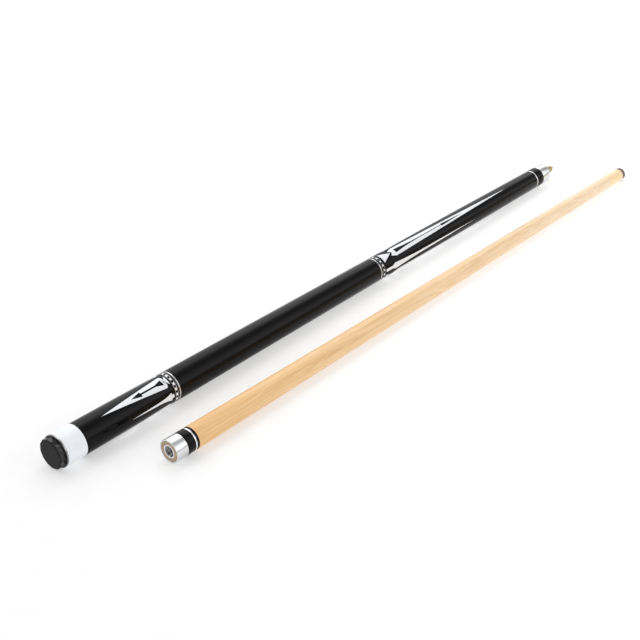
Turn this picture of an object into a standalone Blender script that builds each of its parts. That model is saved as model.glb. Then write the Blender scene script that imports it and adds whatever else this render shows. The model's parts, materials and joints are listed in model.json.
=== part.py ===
"""Two-piece pool cue, unscrewed, with both halves lying side by side.

Each half is a set of turned pieces on one axis.  A half is built in its own
frame, whose +X runs along the axis, and a parent empty lays it on the ground:
the butt starts at its bumper face, the shaft at its joint face.  Both halves
have the same taper, so both axes dip by the same angle and a plain shift
brings them into line.
"""
import math

import bmesh
import bpy

# ---------------------------------------------------------------- driving sizes
BUTT_LENGTH = 0.7185
SHAFT_LENGTH = 0.718
BUTT_RADIUS = 0.01483
JOINT_RADIUS = 0.0107
TAPER = (BUTT_RADIUS - JOINT_RADIUS) / BUTT_LENGTH
DIP = math.atan(TAPER)

# where the shaft's joint face lies, seen from the butt's bumper face
SHAFT_AHEAD = 0.0690
SHAFT_ASIDE = 0.0642

GAP = 0.0003
SEGMENTS = 32
BUMPER_LOBES = 13
BUMPER_SEGMENTS = 4 * BUMPER_LOBES

# stations along the butt, from the bumper face
BUMPER_END = 0.0072
CAP_END = 0.0266
SLEEVE_END = 0.1228
RING_BAND_WIDTH = 0.0059
SILVER_RING_WIDTH = 0.0012
HANDLE_END = 0.4068
FOREARM_END = 0.6918
BLACK_COLLAR_WIDTH = 0.0112
PIN_REACH = 0.0225
PIN_DEPTH = 0.0377
PIN_POINT = 0.0080
PIN_POINT_SHARE = 0.25

# stations along the shaft, from its joint face
STEEL_COLLAR_WIDTH = 0.0119
SHAFT_BLACK_WIDTH = 0.0081
END_RING_WIDTH = 0.0023
INSERT_DEPTH = 0.0250
FERRULE_START = 0.6840
FERRULE_LENGTH = 0.0260
FERRULE_ROOF = 0.0040
PAD_THICKNESS = 0.0010
TIP_DOME_RADIUS = 0.0106
DOME_STEPS = 4
SHARP_ANGLE = math.radians(35.0)

# radii inside the cue
PIN_RADIUS = 0.00397
PIN_BORE = 0.0043
SCREW_RADIUS = 0.00475
SCREW_BORE = 0.00505
REAR_TENON = 0.0096
RING_TENON = 0.0090
JOINT_TENON = 0.0075
INSERT_RADIUS = 0.0062
SHAFT_TENON = 0.0091
FERRULE_TENON = 0.0040

# the rubber bumper: a flat face, a lobed grip and a round flange
BUMPER_FACE_RADIUS = 0.0118
GRIP_RADIUS = 0.0131
LOBE_DEPTH = 0.0004
FIRST_LOBE = math.radians(99.0)
FACE_BEVEL = 0.0013
FLANGE_START = 0.0053
FLANGE_SLOPE = 0.0003
FLANGE_RADIUS = 0.0143

# screws hidden in the butt
STUD_HEAD_RADIUS = 0.0080
STUD_HEAD_START = 0.0022
STUD_HEAD_END = 0.0040
STUD_END = 0.0325
STUD_POINT = 0.0010
WEIGHT_START = 0.0465
WEIGHT_END = 0.0965
KEY_RADIUS = 0.0024
KEY_DEPTH = 0.0050
REAR_BORE_END = 0.1045
HANDLE_SCREW_REACH = 0.0285
BORE_SPARE = 0.0010
WASHER_RADIUS = 0.0090
WASHER_THICKNESS = 0.0012

# the blocks let into the two ring bands
BLOCK_DEPTH = 0.0010
BLOCK_WIDTH = 0.0020
INLAY_ROOT = 0.0004
BLOCK_FLANK = math.radians(1.0)
BLOCK_SHARE = 0.55
RING_A_BLOCKS = 18
RING_A_FIRST_BLOCK = math.radians(7.0)
RING_B_BLOCKS = 16
RING_B_FIRST_BLOCK = math.radians(8.0)

# worked out from the above
RING_A_BAND_START = SLEEVE_END + GAP
RING_A_BAND_END = RING_A_BAND_START + RING_BAND_WIDTH
RING_A_SILVER_START = RING_A_BAND_END + GAP
RING_A_SILVER_END = RING_A_SILVER_START + SILVER_RING_WIDTH
HANDLE_START = RING_A_SILVER_END + GAP
RING_B_SILVER_START = HANDLE_END + GAP
RING_B_SILVER_END = RING_B_SILVER_START + SILVER_RING_WIDTH
RING_B_BAND_START = RING_B_SILVER_END + GAP
RING_B_BAND_END = RING_B_BAND_START + RING_BAND_WIDTH
FOREARM_START = RING_B_BAND_END + GAP
JOINT_TRIM_START = FOREARM_END + GAP
JOINT_TRIM_END = JOINT_TRIM_START + SILVER_RING_WIDTH
BLACK_COLLAR_START = JOINT_TRIM_END + GAP
BLACK_COLLAR_END = BLACK_COLLAR_START + BLACK_COLLAR_WIDTH
STEEL_COLLAR_START = BLACK_COLLAR_END + GAP
SHAFT_BLACK_START = STEEL_COLLAR_WIDTH + GAP
SHAFT_BLACK_END = SHAFT_BLACK_START + SHAFT_BLACK_WIDTH
SHAFT_TRIM_START = SHAFT_BLACK_END + GAP
SHAFT_TRIM_END = SHAFT_TRIM_START + SILVER_RING_WIDTH
END_RING_START = SHAFT_TRIM_END + GAP
END_RING_END = END_RING_START + END_RING_WIDTH
WOOD_START = END_RING_END + GAP
FERRULE_END = FERRULE_START + FERRULE_LENGTH
PAD_START = FERRULE_END + GAP
TIP_START = PAD_START + PAD_THICKNESS + GAP

# the ground point under the middle of the whole layout is the origin
ORIGIN_X = (SHAFT_AHEAD + SHAFT_LENGTH) / 2
ORIGIN_Y = (BUTT_RADIUS - TAPER * (BUMPER_END + GAP) - SHAFT_ASIDE - JOINT_RADIUS) / 2


def butt_radius(station):
    """Outer radius of the butt at a station."""
    return BUTT_RADIUS - TAPER * station


def shaft_radius(station):
    """Outer radius of the shaft at a station."""
    return JOINT_RADIUS - TAPER * station


# ------------------------------------------------------------------- materials
def make_material(name, color, roughness, metallic=0.0):
    """One plain Principled material."""
    material = bpy.data.materials.new(name)
    material.use_nodes = True
    shader = material.node_tree.nodes["Principled BSDF"]
    shader.inputs["Base Color"].default_value = (*color, 1.0)
    shader.inputs["Roughness"].default_value = roughness
    shader.inputs["Metallic"].default_value = metallic
    return material


FINISHES = {
    "black_rubber": ((0.02, 0.02, 0.02), 0.7, 0.0),
    "white_plastic": ((0.88, 0.88, 0.88), 0.2, 0.0),
    "black_lacquer": ((0.008, 0.008, 0.009), 0.12, 0.0),
    "black_plastic": ((0.01, 0.01, 0.011), 0.2, 0.0),
    "silver": ((0.72, 0.73, 0.75), 0.25, 1.0),
    "steel": ((0.70, 0.70, 0.71), 0.28, 1.0),
    "screw_steel": ((0.45, 0.45, 0.46), 0.4, 1.0),
    "brass": ((0.72, 0.56, 0.25), 0.3, 1.0),
    "maple": ((0.84, 0.62, 0.38), 0.3, 0.0),
    "ferrule": ((0.90, 0.80, 0.58), 0.25, 0.0),
    "fibre": ((0.72, 0.52, 0.45), 0.6, 0.0),
    "leather": ((0.12, 0.08, 0.07), 0.8, 0.0),
}


# ----------------------------------------------------------------- shape tools
def spin_profile(profile, closed, segments):
    """Turn a profile of (station, radius) points about the X axis."""
    bm = bmesh.new()
    verts = [bm.verts.new((x, 0.0, r)) for x, r in profile]
    edges = [bm.edges.new(pair) for pair in zip(verts, verts[1:])]
    if closed:
        edges.append(bm.edges.new((verts[-1], verts[0])))
    bmesh.ops.spin(
        bm,
        geom=verts + edges,
        cent=(0.0, 0.0, 0.0),
        axis=(1.0, 0.0, 0.0),
        angle=math.tau,
        steps=segments,
    )
    bmesh.ops.remove_doubles(bm, verts=bm.verts, dist=1e-6)
    return bm


def close_up(bm):
    """Fill the open ends and turn every face outwards."""
    bmesh.ops.holes_fill(bm, edges=bm.edges, sides=0)
    bmesh.ops.recalc_face_normals(bm, faces=bm.faces)


def add_piece(name, bm, half, finish):
    """Store a piece as one object under its half's empty."""
    mesh = bpy.data.meshes.new(name)
    bm.to_mesh(mesh)
    bm.free()
    mesh.shade_smooth()
    mesh.set_sharp_from_angle(angle=SHARP_ANGLE)
    color, roughness, metallic = FINISHES[finish]
    mesh.materials.append(make_material(name, color, roughness, metallic))
    piece = bpy.data.objects.new(name, mesh)
    piece.parent = half
    bpy.context.scene.collection.objects.link(piece)
    return piece


def add_turned(name, profile, half, finish):
    """A turned solid: an open profile whose two end circles are filled."""
    bm = spin_profile(profile, False, SEGMENTS)
    close_up(bm)
    return add_piece(name, bm, half, finish)


def add_ring(name, start, end, bore, radius_at, half, finish):
    """A plain ring that follows the taper outside and has a straight bore."""
    profile = [
        (start, radius_at(start)),
        (end, radius_at(end)),
        (end, bore),
        (start, bore),
    ]
    bm = spin_profile(profile, True, SEGMENTS)
    close_up(bm)
    return add_piece(name, bm, half, finish)


def add_half(name, x, y, radius):
    """The empty that carries one half, with +X along the half's axis."""
    half = bpy.data.objects.new(name, None)
    half.location = (x - ORIGIN_X, y - ORIGIN_Y, radius * math.cos(DIP))
    half.rotation_euler = (0.0, DIP, 0.0)
    bpy.context.scene.collection.objects.link(half)
    return half


# ------------------------------------------------------------------ ring bands
def add_band(name, start, end, bore, half):
    """A black ring with a shallow groove round it for the white inlay."""
    middle = (start + end) / 2
    groove = BLOCK_WIDTH / 2 + GAP
    floor = butt_radius(middle) - BLOCK_DEPTH - GAP
    profile = [
        (start, butt_radius(start)),
        (middle - groove, butt_radius(middle - groove)),
        (middle - groove, floor),
        (middle + groove, floor),
        (middle + groove, butt_radius(middle + groove)),
        (end, butt_radius(end)),
        (end, bore),
        (start, bore),
    ]
    bm = spin_profile(profile, True, SEGMENTS)
    close_up(bm)
    return add_piece(name, bm, half, "black_plastic")


def add_inlay(name, start, end, count, first, half):
    """A white ring in a band's groove, whose teeth reach the surface as blocks."""
    middle = (start + end) / 2
    low = middle - BLOCK_WIDTH / 2
    high = middle + BLOCK_WIDTH / 2
    seat = butt_radius(middle) - BLOCK_DEPTH
    root = seat + INLAY_ROOT
    pitch = math.tau / count
    half_block = BLOCK_SHARE * pitch / 2
    half_root = half_block + BLOCK_FLANK
    bm = bmesh.new()
    loops = []
    for index in range(count):
        for offset in (-half_root, -half_block, half_block, half_root):
            raised = abs(offset) == half_block
            angle = first + index * pitch + offset
            tops = (butt_radius(low), butt_radius(high)) if raised else (root, root)
            corners = ((low, tops[0]), (high, tops[1]), (high, seat), (low, seat))
            loops.append(
                [bm.verts.new((x, -r * math.sin(angle), r * math.cos(angle))) for x, r in corners]
            )
    for current, following in zip(loops, loops[1:] + loops[:1]):
        for side in range(4):
            after = (side + 1) % 4
            bm.faces.new((current[side], current[after], following[after], following[side]))
    close_up(bm)
    return add_piece(name, bm, half, "white_plastic")


# ----------------------------------------------------------------- butt pieces
def add_bumper(half):
    """The rubber bumper: a lobed grip, a round flange, and a seat for its stud."""
    head_seat = STUD_HEAD_RADIUS + GAP
    washer_seat = WASHER_RADIUS + GAP
    washer_face = BUMPER_END - WASHER_THICKNESS - GAP
    profile = [
        (STUD_HEAD_START - GAP, head_seat),
        (STUD_HEAD_END + GAP, head_seat),
        (STUD_HEAD_END + GAP, SCREW_BORE),
        (washer_face, SCREW_BORE),
        (washer_face, washer_seat),
        (BUMPER_END, washer_seat),
        (BUMPER_END, FLANGE_RADIUS),
        (FLANGE_START + FLANGE_SLOPE, FLANGE_RADIUS),
        (FLANGE_START, GRIP_RADIUS),
        (FACE_BEVEL, GRIP_RADIUS),
        (0.0, BUMPER_FACE_RADIUS),
    ]
    bm = spin_profile(profile, False, BUMPER_SEGMENTS)
    for vert in bm.verts:
        radius = math.hypot(vert.co.y, vert.co.z)
        if vert.co.x <= FLANGE_START and radius > WASHER_RADIUS:
            turn = math.atan2(vert.co.y, vert.co.z)
            factor = 1.0 + LOBE_DEPTH / radius * math.cos(BUMPER_LOBES * (turn - FIRST_LOBE))
            vert.co.y *= factor
            vert.co.z *= factor
    close_up(bm)
    add_piece("bumper", bm, half, "black_rubber")


def add_rear_screws(half):
    """The bumper's stud and washer, and the weight bolt ahead of them."""
    stud = [
        (STUD_HEAD_START, STUD_HEAD_RADIUS),
        (STUD_HEAD_END, STUD_HEAD_RADIUS),
        (STUD_HEAD_END, SCREW_RADIUS),
        (STUD_END - STUD_POINT, SCREW_RADIUS),
        (STUD_END, SCREW_RADIUS - STUD_POINT),
    ]
    add_turned("bumper_stud", stud, half, "screw_steel")
    washer_start = BUMPER_END - WASHER_THICKNESS
    washer = [
        (washer_start, WASHER_RADIUS),
        (BUMPER_END, WASHER_RADIUS),
        (BUMPER_END, SCREW_BORE),
        (washer_start, SCREW_BORE),
    ]
    bm = spin_profile(washer, True, SEGMENTS)
    close_up(bm)
    add_piece("bumper_washer", bm, half, "screw_steel")
    weight = [
        (WEIGHT_START + KEY_DEPTH, KEY_RADIUS),
        (WEIGHT_START, KEY_RADIUS),
        (WEIGHT_START, SCREW_RADIUS),
        (WEIGHT_END, SCREW_RADIUS),
    ]
    add_turned("weight_bolt", weight, half, "screw_steel")


def add_rear_covers(half):
    """The white cap and the black sleeve on the handle's rear tenon."""
    bore = REAR_TENON + GAP
    add_ring("butt_cap", BUMPER_END + GAP, CAP_END, bore, butt_radius, half, "white_plastic")
    add_ring("butt_sleeve", CAP_END + GAP, SLEEVE_END, bore, butt_radius, half, "black_lacquer")


def add_ring_a(half):
    """The decorated band and silver ring between sleeve and handle."""
    bore = REAR_TENON + GAP
    add_band("ring_a_band", RING_A_BAND_START, RING_A_BAND_END, bore, half)
    add_inlay(
        "ring_a_inlay", RING_A_BAND_START, RING_A_BAND_END, RING_A_BLOCKS, RING_A_FIRST_BLOCK, half
    )
    add_ring(
        "ring_a_silver", RING_A_SILVER_START, RING_A_SILVER_END, bore, butt_radius, half, "silver"
    )


def add_handle(half):
    """The handle, with its rear tenon, its rear bore and its front bore."""
    rear = BUMPER_END + GAP
    profile = [
        (REAR_BORE_END, SCREW_BORE),
        (rear, SCREW_BORE),
        (rear, REAR_TENON),
        (HANDLE_START, REAR_TENON),
        (HANDLE_START, butt_radius(HANDLE_START)),
        (HANDLE_END, butt_radius(HANDLE_END)),
        (HANDLE_END, SCREW_BORE),
        (HANDLE_END - HANDLE_SCREW_REACH - BORE_SPARE, SCREW_BORE),
    ]
    add_turned("handle", profile, half, "black_lacquer")


def add_ring_b(half):
    """The silver ring and decorated band between handle and forearm."""
    bore = RING_TENON + GAP
    add_ring(
        "ring_b_silver", RING_B_SILVER_START, RING_B_SILVER_END, bore, butt_radius, half, "silver"
    )
    add_band("ring_b_band", RING_B_BAND_START, RING_B_BAND_END, bore, half)
    add_inlay(
        "ring_b_inlay", RING_B_BAND_START, RING_B_BAND_END, RING_B_BLOCKS, RING_B_FIRST_BLOCK, half
    )


def add_forearm(half):
    """The forearm and the screw that joins it to the handle."""
    rear = HANDLE_END + GAP
    profile = [
        (rear + HANDLE_SCREW_REACH + BORE_SPARE, SCREW_BORE),
        (rear, SCREW_BORE),
        (rear, RING_TENON),
        (FOREARM_START, RING_TENON),
        (FOREARM_START, butt_radius(FOREARM_START)),
        (FOREARM_END, butt_radius(FOREARM_END)),
        (FOREARM_END, JOINT_TENON),
        (BUTT_LENGTH, JOINT_TENON),
        (BUTT_LENGTH, PIN_BORE),
        (BUTT_LENGTH - PIN_DEPTH - GAP, PIN_BORE),
    ]
    add_turned("forearm", profile, half, "black_lacquer")
    screw = [
        (HANDLE_END - HANDLE_SCREW_REACH, SCREW_RADIUS),
        (rear + HANDLE_SCREW_REACH, SCREW_RADIUS),
    ]
    add_turned("handle_screw", screw, half, "screw_steel")


def add_butt_joint(half):
    """The trim ring, black collar, steel collar and pin at the butt's joint."""
    bore = JOINT_TENON + GAP
    add_ring(
        "joint_trim_ring", JOINT_TRIM_START, JOINT_TRIM_END, bore, butt_radius, half, "silver"
    )
    add_ring(
        "joint_black_collar",
        BLACK_COLLAR_START,
        BLACK_COLLAR_END,
        bore,
        butt_radius,
        half,
        "black_plastic",
    )
    add_ring(
        "joint_steel_collar", STEEL_COLLAR_START, BUTT_LENGTH, bore, butt_radius, half, "steel"
    )
    tip = BUTT_LENGTH + PIN_REACH
    pin = [
        (BUTT_LENGTH - PIN_DEPTH, PIN_RADIUS),
        (tip - PIN_POINT, PIN_RADIUS),
        (tip, PIN_RADIUS * PIN_POINT_SHARE),
    ]
    add_turned("joint_pin", pin, half, "brass")


# ---------------------------------------------------------------- shaft pieces
def add_shaft_joint(half):
    """The threaded insert and the collars round the shaft's rear tenon."""
    insert = [
        (0.0, INSERT_RADIUS),
        (INSERT_DEPTH, INSERT_RADIUS),
        (INSERT_DEPTH, PIN_BORE),
        (0.0, PIN_BORE),
    ]
    bm = spin_profile(insert, True, SEGMENTS)
    close_up(bm)
    add_piece("shaft_insert", bm, half, "steel")
    bore = SHAFT_TENON + GAP
    rings = [
        ("shaft_steel_collar", 0.0, STEEL_COLLAR_WIDTH, "steel"),
        ("shaft_black_collar", SHAFT_BLACK_START, SHAFT_BLACK_END, "black_plastic"),
        ("shaft_trim_ring", SHAFT_TRIM_START, SHAFT_TRIM_END, "silver"),
        ("shaft_end_ring", END_RING_START, END_RING_END, "black_plastic"),
    ]
    for name, start, end, finish in rings:
        add_ring(name, start, end, bore, shaft_radius, half, finish)


def add_shaft_wood(half):
    """The maple shaft, bored for the insert and turned down for the ferrule."""
    profile = [
        (INSERT_DEPTH + GAP, INSERT_RADIUS + GAP),
        (0.0, INSERT_RADIUS + GAP),
        (0.0, SHAFT_TENON),
        (WOOD_START, SHAFT_TENON),
        (WOOD_START, shaft_radius(WOOD_START)),
        (FERRULE_START - GAP, shaft_radius(FERRULE_START)),
        (FERRULE_START - GAP, FERRULE_TENON),
        (FERRULE_END - FERRULE_ROOF, FERRULE_TENON),
    ]
    add_turned("shaft_wood", profile, half, "maple")


def add_shaft_tip(half):
    """The ferrule, the fibre pad and the domed leather tip."""
    ferrule = [
        (FERRULE_END - FERRULE_ROOF + GAP, FERRULE_TENON + GAP),
        (FERRULE_START, FERRULE_TENON + GAP),
        (FERRULE_START, shaft_radius(FERRULE_START)),
        (FERRULE_END, shaft_radius(FERRULE_END)),
    ]
    add_turned("ferrule", ferrule, half, "ferrule")
    pad_end = PAD_START + PAD_THICKNESS
    pad = [(PAD_START, shaft_radius(PAD_START)), (pad_end, shaft_radius(pad_end))]
    add_turned("tip_pad", pad, half, "fibre")
    rim = shaft_radius(TIP_START)
    sphere = SHAFT_LENGTH - TIP_DOME_RADIUS
    rim_angle = math.asin(rim / TIP_DOME_RADIUS)
    tip = [(TIP_START, rim)]
    for step in range(DOME_STEPS):
        angle = rim_angle * (1.0 - step / DOME_STEPS)
        tip.append((sphere + TIP_DOME_RADIUS * math.cos(angle), TIP_DOME_RADIUS * math.sin(angle)))
    add_turned("leather_tip", tip, half, "leather")


def main():
    for old in list(bpy.data.objects):
        bpy.data.objects.remove(old)
    butt = add_half("butt_axis", 0.0, 0.0, BUTT_RADIUS)
    add_bumper(butt)
    add_rear_screws(butt)
    add_rear_covers(butt)
    add_ring_a(butt)
    add_handle(butt)
    add_ring_b(butt)
    add_forearm(butt)
    add_butt_joint(butt)
    shaft = add_half("shaft_axis", SHAFT_AHEAD, -SHAFT_ASIDE, JOINT_RADIUS)
    add_shaft_joint(shaft)
    add_shaft_wood(shaft)
    add_shaft_tip(shaft)


main()
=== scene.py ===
import json
import math

import bmesh
import bpy
from mathutils import Matrix, Vector


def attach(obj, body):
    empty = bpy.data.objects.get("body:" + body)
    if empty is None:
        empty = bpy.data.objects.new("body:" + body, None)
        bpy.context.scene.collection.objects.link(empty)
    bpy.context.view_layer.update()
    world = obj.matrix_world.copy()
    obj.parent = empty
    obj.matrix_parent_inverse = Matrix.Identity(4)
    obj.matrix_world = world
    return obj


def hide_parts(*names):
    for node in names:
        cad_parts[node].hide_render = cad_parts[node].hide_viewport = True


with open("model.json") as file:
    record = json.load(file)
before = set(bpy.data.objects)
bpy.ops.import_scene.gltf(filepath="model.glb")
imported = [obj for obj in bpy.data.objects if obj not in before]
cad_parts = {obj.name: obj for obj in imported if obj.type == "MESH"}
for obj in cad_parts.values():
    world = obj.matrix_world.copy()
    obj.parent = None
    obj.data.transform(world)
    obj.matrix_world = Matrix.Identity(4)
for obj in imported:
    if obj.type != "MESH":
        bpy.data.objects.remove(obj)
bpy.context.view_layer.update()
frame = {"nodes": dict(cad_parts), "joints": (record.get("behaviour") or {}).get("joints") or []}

MM = 0.001
NEARLY = 0.01 * MM  # stations or radii this close count as the same
MERGE = 1e-7  # vertices this close, in metres, become one
CAD_GAP = 0.30 * MM  # between neighbouring rings in the CAD
HAIRLINE = 0.05 * MM  # what is left of that gap between the visible rings
SHOULDER_GAP = 0.17 * MM  # from the edge of a CAD ring to the shoulder beside it
END_STRETCH = 0.12 * MM  # what an open end grows into the gap before its neighbour

# ------------------------------------------------------------------ the frame
JOINTS = {joint["name"]: joint for joint in frame["joints"]}


class Half:
    """One half of the cue: a frame with +X along its axis, and its outer taper."""

    def __init__(self, joint, direction, rear_ring, front_ring):
        origin = Vector(JOINTS[joint]["pos_m"])
        along = Vector(JOINTS[joint]["axis"]).normalized() * direction
        side = Vector((0.0, 0.0, 1.0)).cross(along).normalized()
        up = along.cross(side)
        rotation = Matrix((along, side, up)).transposed().to_4x4()
        self.matrix = Matrix.Translation(origin) @ rotation
        self.inverse = self.matrix.inverted()
        first, last = self.span(rear_ring)[0], self.span(front_ring)[1]
        wide = max(r for x, r in self.measure(rear_ring) if x < first + NEARLY)
        narrow = max(r for x, r in self.measure(front_ring) if x > last - NEARLY)
        self.slope = (wide - narrow) / (last - first)
        self.base = wide + self.slope * first

    def measure(self, node):
        """(station, radius) of every vertex of a CAD node."""
        points = [self.inverse @ vertex.co for vertex in frame["nodes"][node].data.vertices]
        return [(p.x, math.hypot(p.y, p.z)) for p in points]

    def span(self, node):
        """First and last station of a CAD node."""
        stations = [x for x, _ in self.measure(node)]
        return min(stations), max(stations)

    def bore(self, node):
        """Smallest radius of a CAD node."""
        return min(r for _, r in self.measure(node))

    def girth(self, node):
        """Largest radius of a CAD node."""
        return max(r for _, r in self.measure(node))

    def radius(self, station):
        """Outer radius of this half at a station."""
        return self.base - self.slope * station


BUTT = Half("bumper_turn", -1.0, "butt_cap", "joint_steel_collar")
SHAFT = Half("shaft_turn", 1.0, "shaft_steel_collar", "ferrule")

# ---------------------------------------------------------------------- nodes
WHITE = (1.0, 1.0, 1.0)


class Nodes:
    """A node tree, with helpers that add nodes and join them."""

    def __init__(self, owner, coordinates):
        owner.use_nodes = True
        self.tree = owner.node_tree
        self.coordinates = self.add("ShaderNodeTexCoord").outputs[coordinates]

    def add(self, kind, **settings):
        node = self.tree.nodes.new(kind)
        for key, value in settings.items():
            setattr(node, key, value)
        return node

    def join(self, source, target):
        self.tree.links.new(source, target)

    def part(self, axis):
        """The coordinate along one axis."""
        parts = self.add("ShaderNodeSeparateXYZ")
        self.join(self.coordinates, parts.inputs["Vector"])
        return parts.outputs[axis]

    def calculate(self, operation, *values):
        """A math node; each value is another node's output, or a number."""
        node = self.add("ShaderNodeMath", operation=operation)
        for socket, value in zip(node.inputs, values):
            if isinstance(value, float):
                socket.default_value = value
            else:
                self.join(value, socket)
        return node.outputs[0]

    def remap(self, value, old, new=(0.0, 1.0)):
        """Maps a value from its old range to a new one, which it doesn't leave."""
        node = self.add("ShaderNodeMapRange")
        for socket, limit in zip(("From Min", "From Max", "To Min", "To Max"), (*old, *new)):
            node.inputs[socket].default_value = limit
        self.join(value, node.inputs["Value"])
        return node.outputs["Result"]

    def ramp(self, factor, stops, interpolation="LINEAR"):
        """Colours at given places of a factor from 0 to 1."""
        node = self.add("ShaderNodeValToRGB")
        node.color_ramp.interpolation = interpolation
        elements = node.color_ramp.elements
        while len(elements) < len(stops):
            elements.new(0.5)
        for element, (place, color) in zip(elements, stops):
            element.position = place
            element.color = (*color, 1.0)
        self.join(factor, node.inputs["Fac"])
        return node.outputs["Color"]


class Material(Nodes):
    """A Principled material with helpers for its procedural nodes."""

    def __init__(self, name, roughness=0.5, metallic=0.0):
        self.material = bpy.data.materials.new(name)
        super().__init__(self.material, "Object")
        self.shader = self.tree.nodes["Principled BSDF"]
        self.set("Roughness", roughness)
        self.set("Metallic", metallic)

    def set(self, socket, value):
        self.shader.inputs[socket].default_value = value

    def noise(self, scale, detail=3.0, roughness=0.5, distortion=0.0):
        """Noise from 0 to 1; scale is in features a metre along each axis."""
        mapping = self.add("ShaderNodeMapping")
        mapping.inputs["Scale"].default_value = scale
        self.join(self.coordinates, mapping.inputs["Vector"])
        texture = self.add("ShaderNodeTexNoise")
        texture.inputs["Scale"].default_value = 1.0
        texture.inputs["Detail"].default_value = detail
        texture.inputs["Roughness"].default_value = roughness
        texture.inputs["Distortion"].default_value = distortion
        self.join(mapping.outputs["Vector"], texture.inputs["Vector"])
        return texture.outputs["Fac"]

    def turning_lines(self, scale):
        """Fine rings left by turning: noise that changes only with station and radius."""
        squares = [self.calculate("POWER", self.part(axis), 2.0) for axis in ("Y", "Z")]
        radius = self.calculate("SQRT", self.calculate("ADD", *squares))
        place = self.calculate("ADD", self.part("X"), radius)
        texture = self.add("ShaderNodeTexNoise", noise_dimensions="1D")
        texture.inputs["Scale"].default_value = scale
        texture.inputs["Detail"].default_value = 2.0
        self.join(place, texture.inputs["W"])
        return texture.outputs["Fac"]

    def mottle(self, factor, dark, light, low=0.3, high=0.7):
        """A colour that is dark up to a low factor, and light from a high one."""
        return self.ramp(factor, [(low, dark), (high, light)])

    def mix(self, factor, first, second, blend="MIX"):
        node = self.add("ShaderNodeMix", data_type="RGBA", blend_type=blend)
        self.join(factor, node.inputs["Factor"])
        self.join(first, node.inputs[6])
        self.join(second, node.inputs[7])
        return node.outputs[2]

    def between(self, factor, low, high):
        """A factor from 0 to 1, as a number from low to high."""
        return self.remap(factor, (0.0, 1.0), (low, high))

    def color(self, source):
        self.join(source, self.shader.inputs["Base Color"])

    def rough(self, source):
        self.join(source, self.shader.inputs["Roughness"])

    def bump(self, height, depth):
        """Raises the surface by height times depth, in metres."""
        node = self.add("ShaderNodeBump")
        node.inputs["Strength"].default_value = 1.0
        node.inputs["Distance"].default_value = depth
        self.join(height, node.inputs["Height"])
        self.join(node.outputs["Normal"], self.shader.inputs["Normal"])


def even(scale):
    """The same scale along all three axes."""
    return (scale, scale, scale)


def grey(value):
    return (value, value, value)


# ------------------------------------------------------------------ materials


def lacquer():
    m = Material("black_lacquer")
    tint = m.noise((8.0, 60.0, 60.0))
    m.color(m.mottle(tint, (0.0024, 0.0024, 0.0030), (0.0042, 0.0042, 0.0050)))
    m.rough(m.between(m.noise(even(300.0)), 0.05, 0.11))
    m.set("Specular IOR Level", 0.12)
    m.bump(m.noise((60.0, 250.0, 250.0), detail=1.0), depth=0.004 * MM)
    return m.material


def plastic(name, dark, light, roughness, specular):
    m = Material(name)
    m.color(m.mottle(m.noise(even(120.0)), dark, light))
    m.rough(m.between(m.noise(even(500.0)), roughness * 0.8, roughness * 1.3))
    m.set("Specular IOR Level", specular)
    m.bump(m.noise(even(900.0), detail=1.0), depth=0.003 * MM)
    return m.material


RUBBER_FACE_EDGE = (0.6 * MM, 1.4 * MM)  # stations over which face turns into side


def rubber():
    """Moulded rubber: matte on its flat face and polished round its side, whose paler colour is
    painted sheen.
    """
    m = Material("black_rubber")
    dust = m.noise(even(700.0), detail=4.0)
    face = m.mottle(dust, grey(0.002), grey(0.005), 0.35, 0.75)
    # The side's paler grey is painted sheen, standing in for the highlights along the lobes.
    side = m.mottle(dust, grey(0.007), grey(0.014), 0.35, 0.75)
    # Mask from face to side: it carries the painted sheen in the colour and the polish in the
    # roughness.
    side_polish_and_sheen = m.remap(m.part("X"), RUBBER_FACE_EDGE)
    m.color(m.mix(side_polish_and_sheen, face, side))
    fine = m.noise(even(1500.0))
    m.rough(m.mix(side_polish_and_sheen, m.between(fine, 0.65, 0.80), m.between(fine, 0.15, 0.23)))
    m.set("Specular IOR Level", 0.38)
    m.bump(m.noise(even(3500.0)), depth=0.006 * MM)
    return m.material


def turned_metal(name, dark, light, rough_low, rough_high):
    m = Material(name, metallic=1.0)
    lines = m.turning_lines(2500.0)
    m.color(m.mottle(lines, dark, light, 0.35, 0.65))
    m.rough(m.between(m.noise(even(400.0)), rough_low, rough_high))
    m.bump(lines, depth=0.004 * MM)
    return m.material


WOOD_REACH = (0.0, 0.7)  # stations from the warm rear of the wood to its pale front
WOOD_BASE = [(0.0, (0.88, 0.58, 0.28)), (0.5, (0.94, 0.70, 0.44)), (1.0, (0.98, 0.81, 0.60))]
WOOD_FIGURE = (0.95, 0.89, 0.81)  # darkest tint of each layer over that base
WOOD_FIBRES = (0.93, 0.87, 0.79)
WOOD_STREAKS = (0.88, 0.78, 0.66)
END_GRAIN_DEPTH = 0.3 * MM


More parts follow.
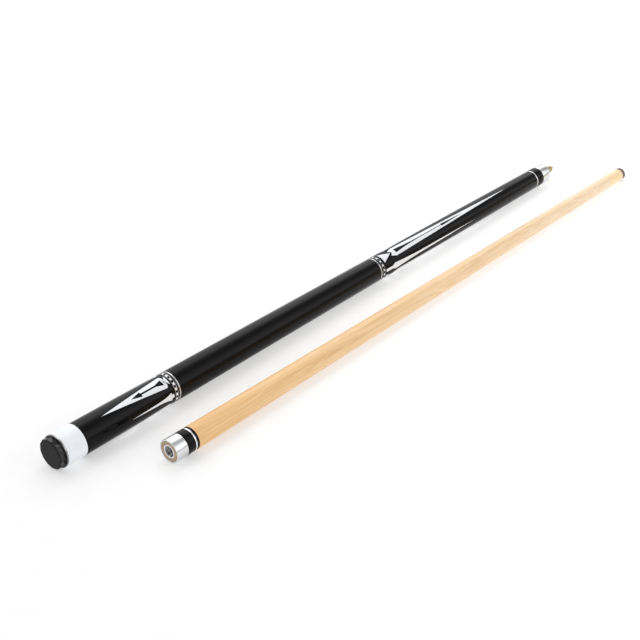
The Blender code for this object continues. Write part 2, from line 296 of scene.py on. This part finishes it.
def maple():
    """Pale wood with fibres, streaks and looped figure, and pores in its end grain."""
    m = Material("maple")
    station = m.part("X")
    base = m.ramp(m.remap(station, WOOD_REACH), WOOD_BASE)
    broad = m.noise((7.0, 70.0, 70.0), detail=1.0)
    loops = m.calculate("SINE", m.between(broad, 0.0, 55.0))
    figure = m.mottle(m.between(loops, 0.5, 1.0), WOOD_FIGURE, WHITE, 0.55, 0.95)
    grain = m.noise((20.0, 700.0, 700.0), roughness=0.6)
    fibres = m.mottle(grain, WOOD_FIBRES, WHITE, 0.38, 0.58)
    streaks = m.noise((5.0, 260.0, 260.0), detail=2.0, roughness=0.6, distortion=0.4)
    streaks = m.mottle(streaks, WOOD_STREAKS, WHITE, 0.40, 0.50)
    fibres = m.mix(m.between(broad, 0.3, 1.0), fibres, streaks, "MULTIPLY")
    wood = m.mix(m.between(broad, 0.5, 0.9), base, fibres, "MULTIPLY")
    wood = m.mix(m.between(grain, 0.5, 1.0), wood, figure, "MULTIPLY")
    pores = m.mottle(m.noise(even(1800.0)), (0.30, 0.21, 0.12), (0.50, 0.38, 0.24), 0.35, 0.65)
    m.color(m.mix(m.calculate("LESS_THAN", station, END_GRAIN_DEPTH), wood, pores))
    m.rough(m.between(m.noise((40.0, 400.0, 400.0)), 0.26, 0.40))
    m.set("Specular IOR Level", 0.3)
    m.bump(grain, depth=0.006 * MM)
    return m.material


def ferrule_resin():
    m = Material("ferrule_resin")
    m.color(m.mottle(m.noise(even(250.0)), (0.95, 0.70, 0.38), (0.99, 0.77, 0.46)))
    m.rough(m.between(m.noise(even(900.0)), 0.2, 0.3))
    m.set("Subsurface Weight", 0.08)
    m.set("Subsurface Scale", 1.0 * MM)
    m.bump(m.turning_lines(1500.0), depth=0.003 * MM)
    return m.material


def fibre():
    m = Material("fibre", roughness=0.7)
    m.color(m.mottle(m.noise(even(2500.0)), (0.55, 0.33, 0.26), (0.76, 0.52, 0.44)))
    m.bump(m.noise(even(4000.0)), depth=0.02 * MM)
    return m.material


def leather():
    m = Material("leather")
    patches = m.noise(even(900.0), detail=4.0)
    m.color(m.mottle(patches, (0.11, 0.065, 0.055), (0.22, 0.14, 0.12)))
    m.rough(m.between(m.noise(even(2500.0)), 0.7, 0.95))
    m.bump(m.noise(even(3000.0), detail=4.0, roughness=0.7), depth=0.06 * MM)
    return m.material


FINISH = {
    "black_lacquer": lacquer(),
    "black_plastic": plastic("black_plastic", grey(0.004), grey(0.008), 0.12, 0.1),
    "white_plastic": plastic("white_plastic", (0.83, 0.85, 0.895), (0.88, 0.90, 0.94), 0.15, 0.2),
    "black_rubber": rubber(),
    "silver": turned_metal("silver", (0.70, 0.70, 0.71), (0.86, 0.86, 0.87), 0.30, 0.40),
    "steel": turned_metal("steel", (0.62, 0.63, 0.64), (0.80, 0.81, 0.82), 0.12, 0.20),
    # Darker steel of the screws; on the insert's thread it is also painted shade inside the bore.
    "screw_steel": turned_metal("screw_steel", grey(0.22), grey(0.42), 0.10, 0.18),
    "brass": turned_metal("brass", (0.40, 0.33, 0.14), (0.56, 0.47, 0.24), 0.25, 0.38),
    "maple": maple(),
    "ferrule_resin": ferrule_resin(),
    "fibre": fibre(),
    "leather": leather(),
}

# --------------------------------------------------------------- piece making
SEGMENTS = 144  # round a turned piece
SHARP_ANGLE = math.radians(40.0)  # edges sharper than this aren't shaded smooth
STRAIGHT_ANGLE = 160.0  # degrees; a wider corner of a profile isn't rounded
LONGEST_REACH = 0.45  # share of a profile's side that rounding may take up


def add_piece(name, bm, half, finish, body, replaced=()):
    """Turns a mesh in a half's frame into a piece that rides on a CAD body."""
    bmesh.ops.remove_doubles(bm, verts=bm.verts, dist=MERGE)
    bmesh.ops.dissolve_degenerate(bm, edges=bm.edges, dist=MERGE)
    bmesh.ops.recalc_face_normals(bm, faces=bm.faces)
    mesh = bpy.data.meshes.new(name)
    bm.to_mesh(mesh)
    bm.free()
    mesh.shade_smooth()
    mesh.set_sharp_from_angle(angle=SHARP_ANGLE)
    mesh.materials.append(FINISH[finish])
    piece = bpy.data.objects.new(name, mesh)
    bpy.context.scene.collection.objects.link(piece)
    piece.matrix_world = half.matrix
    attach(piece, body)
    if replaced:
        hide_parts(*replaced)


def merge(bm, other):
    """Adds another mesh to a mesh."""
    mesh = bpy.data.meshes.new("other")
    other.to_mesh(mesh)
    other.free()
    bm.from_mesh(mesh)
    bpy.data.meshes.remove(mesh)


def rounded(profile, size, closed=True, steps=3):
    """A profile of (station, radius) with its corners rounded."""
    count = len(profile)
    result = []
    for index, corner in enumerate(profile):
        if not closed and index in (0, count - 1):
            result.append(corner)
            continue
        here = Vector(corner)
        to_last = Vector(profile[index - 1]) - here
        to_next = Vector(profile[(index + 1) % count]) - here
        if math.degrees(to_last.angle(to_next)) > STRAIGHT_ANGLE:
            result.append(corner)
            continue
        reach = min(size, to_last.length * LONGEST_REACH, to_next.length * LONGEST_REACH)
        start = here + to_last.normalized() * reach
        end = here + to_next.normalized() * reach
        for step in range(steps + 1):
            t = step / steps
            point = start * (1 - t) ** 2 + here * 2 * t * (1 - t) + end * t ** 2
            result.append((point.x, point.y))
    return result


def lathe(profile, closed=True, segments=SEGMENTS, shape=None):
    """Turns a profile of (station, radius) about the X axis.

    An open profile is closed with its ends on the axis. shape may give each
    point another station and radius, from its own and its angle.
    """
    if not closed:
        profile = [(profile[0][0], 0.0), *profile, (profile[-1][0], 0.0)]
    bm = bmesh.new()
    loops = []
    for index in range(segments):
        angle = index / segments * math.tau
        loop = []
        for x, r in profile:
            if shape:
                x, r = shape(x, r, angle)
            loop.append(bm.verts.new((x, -r * math.sin(angle), r * math.cos(angle))))
        loops.append(loop)
    last = len(profile) if closed else len(profile) - 1
    for loop, following in zip(loops, loops[1:] + loops[:1]):
        for index in range(last):
            after = (index + 1) % len(profile)
            bm.faces.new((loop[index], loop[after], following[after], following[index]))
    return bm


def turned(profile, corner, segments=SEGMENTS, shape=None):
    """Turns an open profile with its corners rounded."""
    return lathe(rounded(profile, corner, closed=False), False, segments, shape)


def ring(half, node, finish, body, corner, grow=True, groove=None):
    """A ring that follows the taper, stretched to a hairline of its neighbours.

    groove gives the middle, width and depth of a groove cut round it.
    """
    start, end = half.span(node)
    if grow:
        stretch = (CAD_GAP - HAIRLINE) / 2
        start -= stretch
        end += stretch
    bore = half.bore(node)
    outside = [(start, half.radius(start))]
    if groove:
        middle, width, depth = groove
        outside += [
            (middle - width / 2, half.radius(middle)),
            (middle, half.radius(middle) - depth),
            (middle + width / 2, half.radius(middle)),
        ]
    outside.append((end, half.radius(end)))
    profile = rounded([*outside, (end, bore), (start, bore)], corner)
    add_piece(node, lathe(profile), half, finish, body, [node])


# -------------------------------------------------------------------- threads
ROWS = 8  # of points to each turn of a thread
SCREW_PITCH = 1.5875 * MM
SCREW_DEPTH = 0.6 * MM
SCREW_CONE = (1.5 * MM, 3.4 * MM)  # a cone's length, and the radius at its end
PIN_PITCH = 1.411 * MM
PIN_DEPTH = 0.5 * MM
PIN_CONE = (8.0 * MM, 0.7 * MM)


def cut(x, angle, pitch):
    """How far a thread is cut in at a place: 0 on its crest, 1 at its root."""
    phase = (x / pitch - angle / math.tau) % 1.0
    wave = abs(phase * 2.0 - 1.0)
    return min(max(wave * 1.5 - 0.25, 0.0), 1.0)


def threaded(start, end, radius, pitch, depth, cone, segments=48):
    """A threaded rod with a cone at its end."""
    count = round((end - start) / pitch * ROWS)
    profile = [(start + (end - start) * row / count, radius) for row in range(count + 1)]
    length, blunt = cone

    def height(x, r, angle):
        if r == 0.0:
            return x, r
        fade = min(max((end - x) / length, 0.0), 1.0)
        limit = blunt + (radius - blunt) * fade
        return x, min(limit, radius - cut(x, angle, pitch) * depth)

    return lathe(profile, False, segments, height)


def screw(start, end, radius):
    return threaded(start, end, radius, SCREW_PITCH, SCREW_DEPTH, SCREW_CONE)


# ------------------------------------------------------- shapes on the surface
ROUND_STEP = 0.6 * MM  # size of the faces that follow the round
ALONG_STEP = 8.0 * MM  # and of those along the cue


def mirrored(outline):
    """A closed outline of (station, offset) from one side of its centre line."""
    other = [(x, -w) for x, w in reversed(outline) if w > 0.0]
    return [*outline, *other]


def rounded_rectangle(middle, length, width, corner):
    """An outline of (station, offset) with its middle on the centre line."""
    outline = []
    for sx, sw, quarter in ((1, 1, 0), (-1, 1, 1), (-1, -1, 2), (1, -1, 3)):
        for step in range(4):
            angle = math.radians(90.0 * quarter + 30.0 * step)
            x = middle + sx * (length / 2 - corner) + corner * math.cos(angle)
            w = sw * (width / 2 - corner) + corner * math.sin(angle)
            outline.append((x, w))
    return outline


def steps_between(low, high, size):
    """Evenly spaced values strictly between two ends, about size apart."""
    count = max(1, math.ceil((high - low) / size))
    return [low + (high - low) * step / count for step in range(1, count)]


def patch(half, outlines, center, lift, depth):
    """Thin closed slabs on the taper, from flat outlines of (station, offset)."""
    bm = bmesh.new()
    for outline in outlines:
        bm.faces.new([bm.verts.new((x, w, 0.0)) for x, w in outline])
    bmesh.ops.triangulate(bm, faces=bm.faces)
    low = min(vert.co.x for vert in bm.verts)
    high = max(vert.co.x for vert in bm.verts)
    wide = max(abs(vert.co.y) for vert in bm.verts)
    cuts = [((0.0, w, 0.0), (0.0, 1.0, 0.0)) for w in steps_between(-wide, wide, ROUND_STEP)]
    cuts += [((x, 0.0, 0.0), (1.0, 0.0, 0.0)) for x in steps_between(low, high, ALONG_STEP)]
    for place, normal in cuts:
        geometry = bm.verts[:] + bm.edges[:] + bm.faces[:]
        bmesh.ops.bisect_plane(bm, geom=geometry, dist=MERGE, plane_co=place, plane_no=normal)
    tops = bm.verts[:]
    faces = bm.faces[:]
    rims = [edge for edge in bm.edges if edge.is_boundary]
    below = {vert: bm.verts.new(vert.co) for vert in tops}
    for face in faces:
        bm.faces.new([below[vert] for vert in reversed(face.verts)])
    for edge in rims:
        first, second = edge.verts
        bm.faces.new((first, second, below[second], below[first]))
    for vert in tops:
        x, w = vert.co.x, vert.co.y
        angle = center + w / half.radius(x)
        for copy, change in ((vert, lift), (below[vert], -depth)):
            radius = half.radius(x) + change
            copy.co = (x, -radius * math.sin(angle), radius * math.cos(angle))
    return bm


# ----------------------------------------------------------------- the points
LONG_POINTS = 3
POINT_LIFT = 0.03 * MM
FIGURE_LIFT = 0.06 * MM
SLAB_DEPTH = 0.10 * MM

# One side of each outline, as (distance from the ring, offset) in millimetres.
SLEEVE_LONG_WHITE = [
    [(3.6, 0.0), (0.0, 5.0)],
    [(5.2, 0.0), (2.7, 3.4), (3.4, 5.8), (4.0, 6.4), (5.0, 6.6), (72.5, 0.0)],
]
SLEEVE_LONG_BLACK = [
    [(5.6, 0.0), (5.6, 3.1), (13.2, 0.85), (29.4, 0.85), (29.6, 2.6), (40.5, 0.0)],
]
SLEEVE_SHORT_WHITE = [
    [
        (0.0, 0.0), (0.0, 1.6), (2.0, 1.6), (2.8, 3.7), (6.5, 2.5),
        (11.0, 1.65), (17.3, 1.1), (34.0, 0.55), (48.0, 0.0),
    ],
]
FOREARM_LONG_WHITE = [
    [(15.2, 0.0), (1.2, 6.1)],
    [(17.9, 0.0), (14.6, 3.2), (21.0, 5.55), (220.3, 0.0)],
]
FOREARM_LONG_BLACK = [
    [
        (22.8, 0.0), (22.8, 2.4), (30.0, 2.0), (38.0, 1.3), (48.0, 0.75),
        (60.0, 0.5), (101.0, 0.35),
    ],
    [(101.2, 0.0), (101.2, 1.4), (139.0, 0.0)],
]
FOREARM_SHORT_WHITE = [
    [
        (0.1, 0.0), (0.1, 1.5), (10.7, 1.5), (14.2, 3.2), (20.0, 3.0), (25.0, 2.6), (40.0, 1.75),
        (53.0, 1.25), (66.0, 1.1), (92.0, 0.85), (106.0, 0.65), (125.0, 0.35), (153.5, 0.0),
    ],
]
FOREARM_POINTS_GAP = 0.3 * MM  # from ring B's band to where the forearm's points start


def add_point(name, white, black, center):
    """One point of a set: its white field and the black figure on it."""
    bm = patch(BUTT, white, center, POINT_LIFT, SLAB_DEPTH)
    add_piece(name, bm, BUTT, "white_plastic", "butt")
    if black:
        bm = patch(BUTT, black, center, FIGURE_LIFT, SLAB_DEPTH)
        add_piece(name + "_figure", bm, BUTT, "black_lacquer", "butt")


def add_points(prefix, edge, toward, first, turn, long_white, long_black, short_white):
    """Three long and three short points round the butt, drawn from a ring's edge.

    Outlines give the distance from the edge, in the direction toward. first is
    a long point's angle, and turn the angle from it to the next short one.
    """
    def placed(outlines):
        return [
            mirrored([(edge + toward * x * MM, w * MM) for x, w in outline])
            for outline in outlines
        ]

    for index in range(LONG_POINTS):
        center = math.radians(first) + index * math.tau / LONG_POINTS
        name = f"{prefix}_long_point_{index + 1}"
        add_point(name, placed(long_white), placed(long_black), center)
        name = f"{prefix}_short_point_{index + 1}"
        add_point(name, placed(short_white), None, center + math.radians(turn))


def add_all_points():
    sleeve_end = BUTT.span("butt_sleeve")[1]
    forearm_start = BUTT.span("ring_b_band")[1] + FOREARM_POINTS_GAP
    add_points(
        "sleeve", sleeve_end, -1.0, 22.3, 64.0,
        SLEEVE_LONG_WHITE, SLEEVE_LONG_BLACK, SLEEVE_SHORT_WHITE,
    )
    add_points(
        "forearm", forearm_start, 1.0, 18.5, 66.5,
        FOREARM_LONG_WHITE, FOREARM_LONG_BLACK, FOREARM_SHORT_WHITE,
    )


# ------------------------------------------------------------ the inlaid rings
# For each set: how many blocks, the first one's angle in degrees, their length
# along the cue, and the share of the band's round that they take up.
BLOCKS = {
    "ring_a": (18, 7.0, 1.9 * MM, 0.5),
    "ring_b": (16, 8.0, 1.6 * MM, 0.42),
}
BLOCK_CORNER = 0.35 * MM
BLOCK_LIFT = 0.03 * MM
BLOCK_DEPTH = 0.8 * MM
RAIL_DISTANCE = 0.45 * MM  # from the blocks' ends to the middle of a rail
RAIL_WIDTH = 0.20 * MM
RAIL_LIFT = 0.02 * MM
RAIL_DEPTH = 0.3 * MM
LINE_INSET = 0.30 * MM  # from a silver ring's edge at the band to its dark line
LINE_WIDTH = 0.40 * MM
LINE_TOP = 0.03 * MM  # below the ring's surface
LINE_ROOT = 0.40 * MM
GROOVE_WIDTH = 0.5 * MM
GROOVE_DEPTH = 0.5 * MM


def add_blocks(prefix):
    """White blocks round a band, between two thin silver rails."""
    count, first, length, share = BLOCKS[prefix]
    start, end = BUTT.span(f"{prefix}_band")
    middle = (start + end) / 2
    width = share * math.tau * BUTT.radius(middle) / count
    outline = rounded_rectangle(middle, length, width, BLOCK_CORNER)
    bm = bmesh.new()
    for index in range(count):
        center = math.radians(first) + index * math.tau / count
        merge(bm, patch(BUTT, [outline], center, BLOCK_LIFT, BLOCK_DEPTH))
    add_piece(f"{prefix}_blocks", bm, BUTT, "white_plastic", "butt", [f"{prefix}_inlay"])
    bm = bmesh.new()
    for side in (-1, 1):
        place = middle + side * (length / 2 + RAIL_DISTANCE)
        low, high = place - RAIL_WIDTH / 2, place + RAIL_WIDTH / 2
        top, root = BUTT.radius(place) + RAIL_LIFT, BUTT.radius(place) - RAIL_DEPTH
        merge(bm, lathe([(low, top), (high, top), (high, root), (low, root)]))
    add_piece(f"{prefix}_rails", bm, BUTT, "silver", "butt")


def add_lined_ring(prefix, line):
    """A silver ring with a black line let into its groove."""
    groove = (line, GROOVE_WIDTH, GROOVE_DEPTH)
    ring(BUTT, f"{prefix}_silver", "silver", "butt", 0.10 * MM, groove=groove)
    radius = BUTT.radius(line)
    profile = [
        (line - LINE_WIDTH / 2, radius - LINE_TOP),
        (line + LINE_WIDTH / 2, radius - LINE_TOP),
        (line, radius - LINE_ROOT),
    ]
    add_piece(f"{prefix}_dark_line", lathe(profile), BUTT, "black_plastic", "butt")


def add_inlaid_rings():
    lines = {
        "ring_a": BUTT.span("ring_a_silver")[0] + LINE_INSET,
        "ring_b": BUTT.span("ring_b_silver")[1] - LINE_INSET,
    }
    for prefix, line in lines.items():
        ring(BUTT, f"{prefix}_band", "black_plastic", "butt", 0.05 * MM)
        add_lined_ring(prefix, line)
        add_blocks(prefix)


# ----------------------------------------------------------------- the bumper
BUMPER_LOBES = 13
LOBE_STEPS = 24
FIRST_LOBE_STEP = -86  # the corner nearest the ground on the far side
LOBE_CORNER = 13.7 * MM  # radius of the lobes' corners
LOBE_INSIDE = 11.5 * MM  # radius within which the lobes don't reach
HOLLOW_AT_FACE = 0.45 * MM  # depth of the flats between corners, at the face
HOLLOW_BEHIND = 0.5 * MM  # what it gains behind the face
HOLLOW_GAIN = (0.9 * MM, 1.5 * MM)  # where that gain starts, and its length
FACE_EDGE = [(2.4, 13.7), (0.9, 13.7), (0.3, 13.0), (0.0, 11.9), (0.0, 11.3)]  # mm
FLANGE_PLACE = 5.5 * MM
FLANGE_GROWTH = 0.25 * MM
HEAD_POCKET = (1.9 * MM, 4.3 * MM, 8.3 * MM)  # its ends, and its radius
WASHER_SEAT = (1.5 * MM, 9.3 * MM)  # its depth, and its radius
STUD_SHANK = 4.75 * MM
STUD_HEAD_LENGTH = 1.8 * MM
STUD_NECK = (3.1 * MM, 3.2 * MM)  # where the thread starts, and the plain neck ends


def add_bumper():
    """The rubber bumper: hollowed flats with sharp corners, and a round flange."""
    start, end = BUTT.span("bumper")
    bore = BUTT.bore("bumper")
    flange = BUTT.girth("bumper") + FLANGE_GROWTH
    flange_start = start + FLANGE_PLACE
    steps = BUMPER_LOBES * LOBE_STEPS
    first = FIRST_LOBE_STEP / steps * math.tau
    gain_start, gain_length = HOLLOW_GAIN

    def lobed(x, r, angle):
        if r < LOBE_INSIDE or x > flange_start:
            return x, r
        turn = (angle - first) / math.tau * BUMPER_LOBES
        offset = abs(turn - round(turn)) * 2.0
        hollow = 1.0 - (1.0 - offset) ** 2
        behind = min(max((x - start - gain_start) / gain_length, 0.0), 1.0)
        depth = HOLLOW_AT_FACE + HOLLOW_BEHIND * behind
        return x, r - depth * hollow * (r / LOBE_CORNER) ** 4

    pocket_start, pocket_end, pocket = HEAD_POCKET
    seat_depth, seat = WASHER_SEAT
    profile = [
        (start + pocket_start, pocket),
        (start + pocket_end, pocket),
        (start + pocket_end, bore),
        (end - seat_depth, bore),
        (end - seat_depth, seat),
        (end, seat),
        (end, flange),
        (flange_start + 0.2 * MM, flange),
        (flange_start, LOBE_CORNER - 0.1 * MM),
        *((start + x * MM, r * MM) for x, r in FACE_EDGE),
    ]
    bm = turned(profile, 0.2 * MM, steps, lobed)
    add_piece("rubber_bumper", bm, BUTT, "black_rubber", "bumper", ["bumper"])


def add_rear_screws():
    start, end = BUTT.span("bumper_stud")
    head = BUTT.girth("bumper_stud")
    head_end = start + STUD_HEAD_LENGTH
    thread_start, neck_end = STUD_NECK
    profile = [
        (start, head),
        (head_end, head),
        (head_end, STUD_SHANK),
        (start + neck_end, STUD_SHANK),
    ]
    bm = turned(profile, 0.3 * MM, 64)
    merge(bm, screw(start + thread_start, end, STUD_SHANK))
    add_piece("bumper_stud_threaded", bm, BUTT, "screw_steel", "bumper", ["bumper_stud"])
    for node, body in (("weight_bolt", "weight_bolt"), ("handle_screw", "butt")):
        bm = screw(*BUTT.span(node), BUTT.girth(node))
        add_piece(f"{node}_threaded", bm, BUTT, "screw_steel", body, [node])
    ring(BUTT, "bumper_washer", "screw_steel", "bumper_carriage", 0.1 * MM, grow=False)


# ------------------------------------------------------------- the butt half
TENON_GAP = 0.3 * MM  # between a tenon and the bore round it
FOREARM_TENONS = (9.0 * MM, 7.5 * MM)  # radii of the rear and the front one
WEIGHT_BOLT_ROOM = 8.0 * MM  # bore left in front of the weight bolt
HANDLE_SCREW_ROOM = 1.0 * MM
PIN_ROOM = 0.3 * MM


def add_butt_shells():
    ring(BUTT, "butt_cap", "white_plastic", "butt", 0.15 * MM)
    ring(BUTT, "butt_sleeve", "black_lacquer", "butt", 0.05 * MM)


def add_handle():
    """The handle, with its rear tenon and the bores at both ends."""
    start, end = BUTT.span("handle")
    shoulder = BUTT.span("ring_a_silver")[1] + SHOULDER_GAP
    bore = BUTT.bore("handle")
    tenon = BUTT.bore("butt_sleeve") - TENON_GAP
    profile = [
        (BUTT.span("weight_bolt")[1] + WEIGHT_BOLT_ROOM, bore),
        (start, bore),
        (start, tenon),
        (shoulder, tenon),
        (shoulder, BUTT.radius(shoulder)),
        (end + END_STRETCH, BUTT.radius(end)),
        (end + END_STRETCH, bore),
        (BUTT.span("handle_screw")[0] - HANDLE_SCREW_ROOM, bore),
    ]
    bm = turned(profile, 0.06 * MM)
    add_piece("handle_turned", bm, BUTT, "black_lacquer", "butt", ["handle"])


def add_forearm():
    """The forearm, with a tenon and a bore at both ends."""
    start, end = BUTT.span("forearm")
    shoulder = BUTT.span("ring_b_band")[1] + SHOULDER_GAP
    step = BUTT.span("joint_trim_ring")[0] - SHOULDER_GAP
    screw_bore = BUTT.bore("handle")
    pin_bore = BUTT.bore("forearm")
    rear_tenon, front_tenon = FOREARM_TENONS
    profile = [
        (BUTT.span("handle_screw")[1] + HANDLE_SCREW_ROOM, screw_bore),
        (start, screw_bore),
        (start, rear_tenon),
        (shoulder, rear_tenon),
        (shoulder, BUTT.radius(shoulder)),
        (step, BUTT.radius(step)),
        (step, front_tenon),
        (end, front_tenon),
        (end, pin_bore),
        (BUTT.span("joint_pin")[0] - PIN_ROOM, pin_bore),
    ]
    bm = turned(profile, 0.06 * MM)
    add_piece("forearm_turned", bm, BUTT, "black_lacquer", "butt", ["forearm"])


def add_butt_joint():
    ring(BUTT, "joint_trim_ring", "silver", "butt", 0.10 * MM)
    ring(BUTT, "joint_black_collar", "black_plastic", "butt", 0.06 * MM)
    ring(BUTT, "joint_steel_collar", "steel", "butt", 0.25 * MM)
    start, end = BUTT.span("joint_pin")
    bm = threaded(start, end, BUTT.girth("joint_pin"), PIN_PITCH, PIN_DEPTH, PIN_CONE)
    add_piece("joint_pin_threaded", bm, BUTT, "brass", "butt", ["joint_pin"])


# ------------------------------------------------------------- the shaft half
INSERT_MOUTH = 0.3 * MM  # plain stretch before the insert's thread
INSERT_WALL = 0.8 * MM  # of the threaded part of the insert
INSERT_ROOM = 0.3 * MM  # bore left in front of the insert
INSERT_CLEARANCE = 0.05 * MM
SHAFT_TENON_GAP = 0.20 * MM
FERRULE_TENON = 4.0 * MM
FERRULE_BORE = 4.3 * MM
FERRULE_TOP = 4.0 * MM  # solid stretch between the ferrule's bore and the tip
DOME_RADIUS = 10.6 * MM
DOME_STEPS = 16
TIP_BULGE = 0.05 * MM


def add_shaft_rings():
    ring(SHAFT, "shaft_steel_collar", "steel", "shaft_carriage", 0.25 * MM)
    ring(SHAFT, "shaft_black_collar", "black_plastic", "shaft", 0.06 * MM)
    ring(SHAFT, "shaft_trim_ring", "silver", "shaft", 0.10 * MM)
    ring(SHAFT, "shaft_end_ring", "black_plastic", "shaft", 0.06 * MM)


def add_shaft_insert():
    """The insert: a threaded part in a bright sleeve; the thread's darker steel is painted shade
    inside the bore.
    """
    start, end = SHAFT.span("shaft_insert")
    outer = SHAFT.girth("shaft_insert")
    bore = SHAFT.bore("shaft_insert")
    mouth = start + INSERT_MOUTH
    wall = bore + INSERT_WALL
    rows = round((end - start) / PIN_PITCH * ROWS)
    inside = [(end + (mouth - end) * row / rows, bore) for row in range(rows + 1)]

    def thread(x, r, angle):
        if r > bore + NEARLY:
            return x, r
        return x, r + cut(x, angle, PIN_PITCH) * PIN_DEPTH

    # The thread gets the darker screw steel as painted shade, so the bore reads dark.
    bm = lathe([*inside, (mouth, wall), (end, wall)], True, 96, thread)
    add_piece("shaft_insert_thread", bm, SHAFT, "screw_steel", "shaft")
    sleeve = [(start, wall), (start, outer), (end, outer), (end, wall)]
    bm = lathe(rounded(sleeve, 0.15 * MM))
    add_piece("shaft_insert_sleeve", bm, SHAFT, "silver", "shaft", ["shaft_insert"])


def add_shaft_wood():
    """The maple shaft, with its tenons and the bore for the insert."""
    start, end = SHAFT.span("shaft_wood")
    insert_end = SHAFT.span("shaft_insert")[1] + INSERT_ROOM
    insert_bore = SHAFT.girth("shaft_insert") + INSERT_CLEARANCE
    tenon = SHAFT.bore("shaft_steel_collar") - SHAFT_TENON_GAP
    shoulder = SHAFT.span("shaft_end_ring")[1] + SHOULDER_GAP
    front = SHAFT.span("ferrule")[0] - SHOULDER_GAP
    profile = [
        (insert_end, insert_bore),
        (start, insert_bore),
        (start, tenon),
        (shoulder, tenon),
        (shoulder, SHAFT.radius(shoulder)),
        (front, SHAFT.radius(front)),
        (front, FERRULE_TENON),
        (end, FERRULE_TENON),
    ]
    bm = turned(profile, 0.05 * MM)
    add_piece("shaft_wood_turned", bm, SHAFT, "maple", "shaft", ["shaft_wood"])


def add_ferrule():
    start, end = SHAFT.span("ferrule")
    profile = [
        (end - FERRULE_TOP, FERRULE_BORE),
        (start, FERRULE_BORE),
        (start, SHAFT.radius(start)),
        (end + END_STRETCH, SHAFT.radius(end)),
    ]
    bm = turned(profile, 0.05 * MM)
    add_piece("ferrule_turned", bm, SHAFT, "ferrule_resin", "shaft", ["ferrule"])


def add_tip():
    """The fibre pad, and the leather tip with its domed end."""
    start, end = SHAFT.span("tip_pad")
    profile = [(start - END_STRETCH, SHAFT.radius(start)), (end + END_STRETCH, SHAFT.radius(end))]
    add_piece("tip_pad_disc", lathe(profile, False), SHAFT, "fibre", "shaft", ["tip_pad"])
    start, end = SHAFT.span("leather_tip")
    rim = SHAFT.girth("leather_tip")
    rim_angle = math.asin(rim / DOME_RADIUS)
    center = end - DOME_RADIUS
    side_end = center + DOME_RADIUS * math.cos(rim_angle)
    profile = [(start, rim), (side_end, rim + TIP_BULGE)]
    for step in range(1, DOME_STEPS):
        angle = rim_angle * (1.0 - step / DOME_STEPS)
        profile.append((center + DOME_RADIUS * math.cos(angle), DOME_RADIUS * math.sin(angle)))
    bm = lathe(profile, False)
    add_piece("leather_tip_domed", bm, SHAFT, "leather", "shaft", ["leather_tip"])


# ------------------------------------------------------- floor, light, camera
FLOOR_SIZE = 6.0  # from its middle to each side, in metres
GLOW_REACH = (-0.45, 0.30)  # X over which the floor's own light rises
GLOW = (0.40, 0.57)

# Brightness of the sky by height in degrees, from the horizon on the far side
# of the cue, over the top, to the horizon on the near side.
STRIPS = [
    (0, 0.7), (20, 1.2), (45, 1.65), (64, 2.3), (78, 1.0), (98, 0.33), (115, 0.5),
    (131, 0.95), (148, 1.5), (163, 1.5), (172, 0.5), (180, 0.2),
]

# And by the X of its direction, from the cue's rear to its front.
FRONT_LIGHT = [(-1.0, 0.55), (0.5, 1.25), (0.65, 1.22), (0.82, 0.85), (1.0, 0.85)]

CAMERA_PLACE = (-0.8776, -0.67795, 0.6447)
CAMERA_HEADING = math.radians(41.093)  # from +X towards +Y
CAMERA_DOWN = math.radians(31.256)
LENS = 73.08
SENSOR = 36.0


def add_floor():
    """A pale floor that gives off some light, more of it towards the cue's front."""
    bm = bmesh.new()
    bmesh.ops.create_grid(bm, x_segments=4, y_segments=4, size=FLOOR_SIZE)
    mesh = bpy.data.meshes.new("floor")
    bm.to_mesh(mesh)
    bm.free()
    floor = bpy.data.objects.new("floor", mesh)
    bpy.context.scene.collection.objects.link(floor)
    m = Material("pale_floor", roughness=0.9)
    m.color(m.mottle(m.noise(even(40.0)), grey(0.54), grey(0.56)))
    m.set("Emission Color", (*WHITE, 1.0))
    m.join(m.remap(m.part("X"), GLOW_REACH, GLOW), m.shader.inputs["Emission Strength"])
    m.set("Specular IOR Level", 0.1)
    mesh.materials.append(m.material)


def brightness_ramp(nodes, factor, levels, interpolation):
    """A grey ramp of (place, level), where the brightest is white; and that level."""
    brightest = max(level for _, level in levels)
    stops = [(place, grey(level / brightest)) for place, level in levels]
    return nodes.ramp(factor, stops, interpolation), brightest


def add_light():
    """A pale sky of soft strips laid along the cue, brighter over its front."""
    world = bpy.data.worlds.new("pale_world")
    nodes = Nodes(world, "Generated")
    background = nodes.tree.nodes["Background"]
    height = nodes.calculate("ARCTAN2", nodes.part("Z"), nodes.part("Y"))
    levels = [(degrees / 180.0, level) for degrees, level in STRIPS]
    height = nodes.remap(height, (0.0, math.pi))
    strips, most_strips = brightness_ramp(nodes, height, levels, "B_SPLINE")
    nodes.join(strips, background.inputs["Color"])
    levels = [((x + 1.0) / 2.0, level) for x, level in FRONT_LIGHT]
    lean = nodes.remap(nodes.part("X"), (-1.0, 1.0))
    front, most_front = brightness_ramp(nodes, lean, levels, "LINEAR")
    strength = nodes.calculate("MULTIPLY", front, most_strips * most_front)
    nodes.join(strength, background.inputs["Strength"])
    bpy.context.scene.world = world


def add_camera():
    data = bpy.data.cameras.new("camera")
    data.lens = LENS
    data.sensor_width = SENSOR
    camera = bpy.data.objects.new("camera", data)
    bpy.context.scene.collection.objects.link(camera)
    camera.location = CAMERA_PLACE
    level = math.cos(CAMERA_DOWN)
    look = Vector((
        math.cos(CAMERA_HEADING) * level, math.sin(CAMERA_HEADING) * level, -math.sin(CAMERA_DOWN),
    ))
    camera.rotation_mode = "QUATERNION"
    camera.rotation_quaternion = look.to_track_quat("-Z", "Y")
    bpy.context.scene.camera = camera
    bpy.context.scene.view_settings.view_transform = "Standard"


add_bumper()
add_rear_screws()
add_butt_shells()
add_inlaid_rings()
add_handle()
add_forearm()
add_all_points()
add_butt_joint()
add_shaft_rings()
add_shaft_insert()
add_shaft_wood()
add_ferrule()
add_tip()
add_floor()
add_light()
add_camera()
